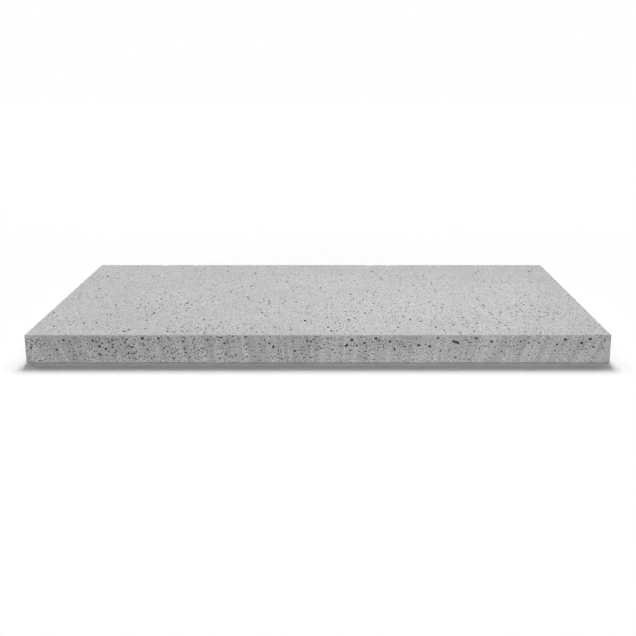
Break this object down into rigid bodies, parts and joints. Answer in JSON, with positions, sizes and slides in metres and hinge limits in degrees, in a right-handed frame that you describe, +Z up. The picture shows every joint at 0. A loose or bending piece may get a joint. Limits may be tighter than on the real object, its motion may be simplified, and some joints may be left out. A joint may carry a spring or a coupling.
{
  "type": "concrete kerb slab",
  "caption": "Flat rectangular kerb slab of cast concrete with square blowhole-pitted faces, lightly broken arrises and a level base, laid face up",
  "frame": {"origin": "middle of the base, at the centre of the slab's outline", "axes": "+X runs along the kerb's length, +Y runs back from the front face to the back face, +Z is up through the thickness"},
  "size_m": [1, 0.6, 0.05],
  "materials": {
    "concrete": "cast concrete, matt, light grey, with open blowholes"
  },
  "bodies": {
    "root": {"kerb_slab": "concrete"}
  },
  "joints": []
}
